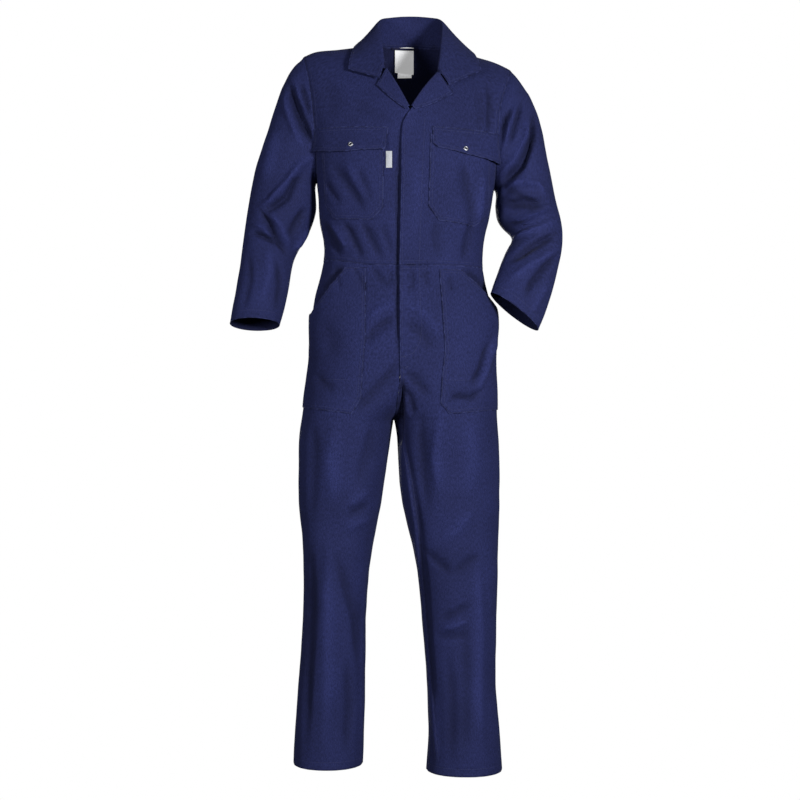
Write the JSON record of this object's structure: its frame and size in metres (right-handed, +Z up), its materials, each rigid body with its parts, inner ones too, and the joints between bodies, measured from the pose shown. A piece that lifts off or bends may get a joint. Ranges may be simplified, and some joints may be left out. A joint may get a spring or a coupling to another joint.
{
  "type": "boiler suit",
  "caption": "Navy twill boiler suit shown worn and hollow, with camp collar, concealed stud fly, flapped chest pockets and patch hip pockets.",
  "frame": {"origin": "base of the neck between the shoulders, where the wearer carries the garment", "axes": "+Z up from hems to collar, -Y the garment's front, +X the wearer's left"},
  "size_m": [0.7157, 0.2716, 1.6431],
  "materials": {
    "twill": "matt cotton and polyester twill",
    "label": "woven white tape",
    "loop": "dark woven tape",
    "stud": "pressed nickel-plated ring"
  },
  "bodies": {
    "root": {"front_right": "twill", "front_left": "twill", "back": "twill", "trouser_front_right": "twill", "trouser_front_left": "twill", "trouser_back_right": "twill", "trouser_back_left": "twill", "sleeve_right": "twill", "sleeve_left": "twill", "collar": "twill", "lapel_right": "twill", "lapel_left": "twill", "chest_pocket_right": "twill", "chest_pocket_left": "twill", "chest_flap_right": "twill", "chest_flap_left": "twill", "hip_pocket_right": "twill", "hip_pocket_left": "twill", "neck_label": "label", "neck_label_under": "label", "pocket_tab": "label", "hanging_loop": "loop", "flap_stud_right": "stud", "flap_stud_left": "stud"}
  },
  "joints": []
}
